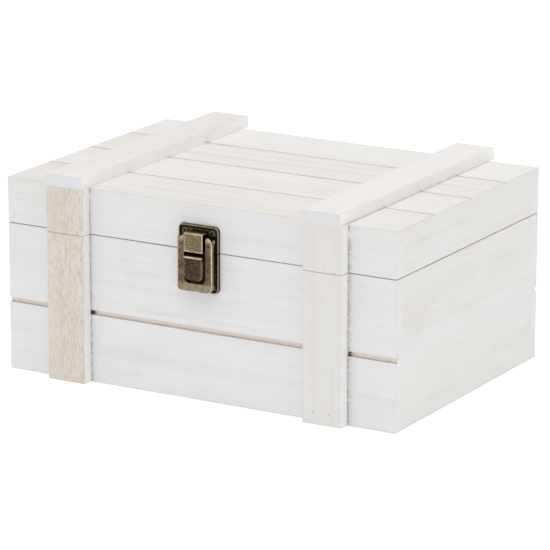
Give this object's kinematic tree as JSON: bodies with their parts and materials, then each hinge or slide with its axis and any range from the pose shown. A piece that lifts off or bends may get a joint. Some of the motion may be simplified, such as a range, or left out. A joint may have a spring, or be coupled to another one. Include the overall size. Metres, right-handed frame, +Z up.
{
  "type": "hinged wooden box",
  "caption": "Small rectangular storage box of whitewashed planks with a hinged lid, raised battens and a brass draw latch on the front.",
  "frame": {"origin": "on the surface the box stands on, under the middle of the bottom panel", "axes": "+X along the front to the right, +Y to the back, +Z up"},
  "size_m": [0.3, 0.2223, 0.1435],
  "materials": {
    "whitewashed_wood": "thin whitewash, matt, grain showing",
    "top_board_wood": "thin whitewash, matt, beige grain streaks",
    "batten_wood": "thin whitewash, matt, beige grain showing",
    "raw_panel": "raw sanded sheet",
    "antique_brass": "antiqued, dark in the recesses and polished on the edges",
    "dark_screw": "blackened",
    "brad_steel": "plain wire"
  },
  "bodies": {
    "box": {"front_lower_board": "whitewashed_wood", "front_upper_board": "whitewashed_wood", "back_lower_board": "whitewashed_wood", "back_upper_board": "whitewashed_wood", "left_end_panel": "whitewashed_wood", "right_end_panel": "whitewashed_wood", "bottom_panel": "raw_panel", "left_front_batten": "batten_wood", "right_front_batten": "batten_wood", "left_hinge_body_leaf": "antique_brass", "left_hinge_pin": "antique_brass", "right_hinge_body_leaf": "antique_brass", "right_hinge_pin": "antique_brass", "base_plate": "antique_brass", "lever_rivet_left": "antique_brass", "lever_rivet_right": "antique_brass", "left_hinge_body_screw_1": "dark_screw", "left_hinge_body_screw_2": "dark_screw", "right_hinge_body_screw_1": "dark_screw", "right_hinge_body_screw_2": "dark_screw", "base_screw_1": "dark_screw", "base_screw_2": "dark_screw", "left_batten_brad_1": "brad_steel", "right_batten_brad_1": "brad_steel", "right_batten_brad_2": "brad_steel", "front_panel_brad": "brad_steel", "back_left_panel_brad": "brad_steel", "back_right_panel_brad": "brad_steel"},
    "lid": {"lid_front_rail": "whitewashed_wood", "lid_back_rail": "whitewashed_wood", "lid_left_rail": "whitewashed_wood", "lid_right_rail": "whitewashed_wood", "top_board_1": "top_board_wood", "top_board_2": "top_board_wood", "top_board_3": "top_board_wood", "top_board_4": "top_board_wood", "left_lid_batten": "batten_wood", "left_top_batten": "batten_wood", "right_lid_batten": "batten_wood", "right_top_batten": "batten_wood", "left_hinge_lid_leaf": "antique_brass", "right_hinge_lid_leaf": "antique_brass", "catch_plate": "antique_brass", "left_hinge_lid_screw_1": "dark_screw", "left_hinge_lid_screw_2": "dark_screw", "right_hinge_lid_screw_1": "dark_screw", "right_hinge_lid_screw_2": "dark_screw", "catch_screw_1": "dark_screw", "catch_screw_2": "dark_screw"},
    "lever": {"latch_lever": "antique_brass", "hook_rivet": "antique_brass"},
    "hook": {"latch_hook": "antique_brass"}
  },
  "joints": [
    {"name": "lid_hinge", "type": "hinge", "parent": "box", "child": "lid", "pos_m": [0, 0.1052, 0.10325], "axis": [-1, 0, 0], "range_deg": [0, 170]},
    {"name": "lever_pivot", "type": "hinge", "parent": "box", "child": "lever", "pos_m": [0.0025, -0.10735, 0.11185], "axis": [-1, 0, 0], "range_deg": [-4, 110]},
    {"name": "hook_pivot", "type": "hinge", "parent": "lever", "child": "hook", "pos_m": [0.0025, -0.10695, 0.10345], "axis": [-1, 0, 0], "range_deg": [-165, 6]}
  ],
  "couplings": [
    {"joint": "hook_pivot", "follows": "lever_pivot", "ratio": -1.5}
  ]
}
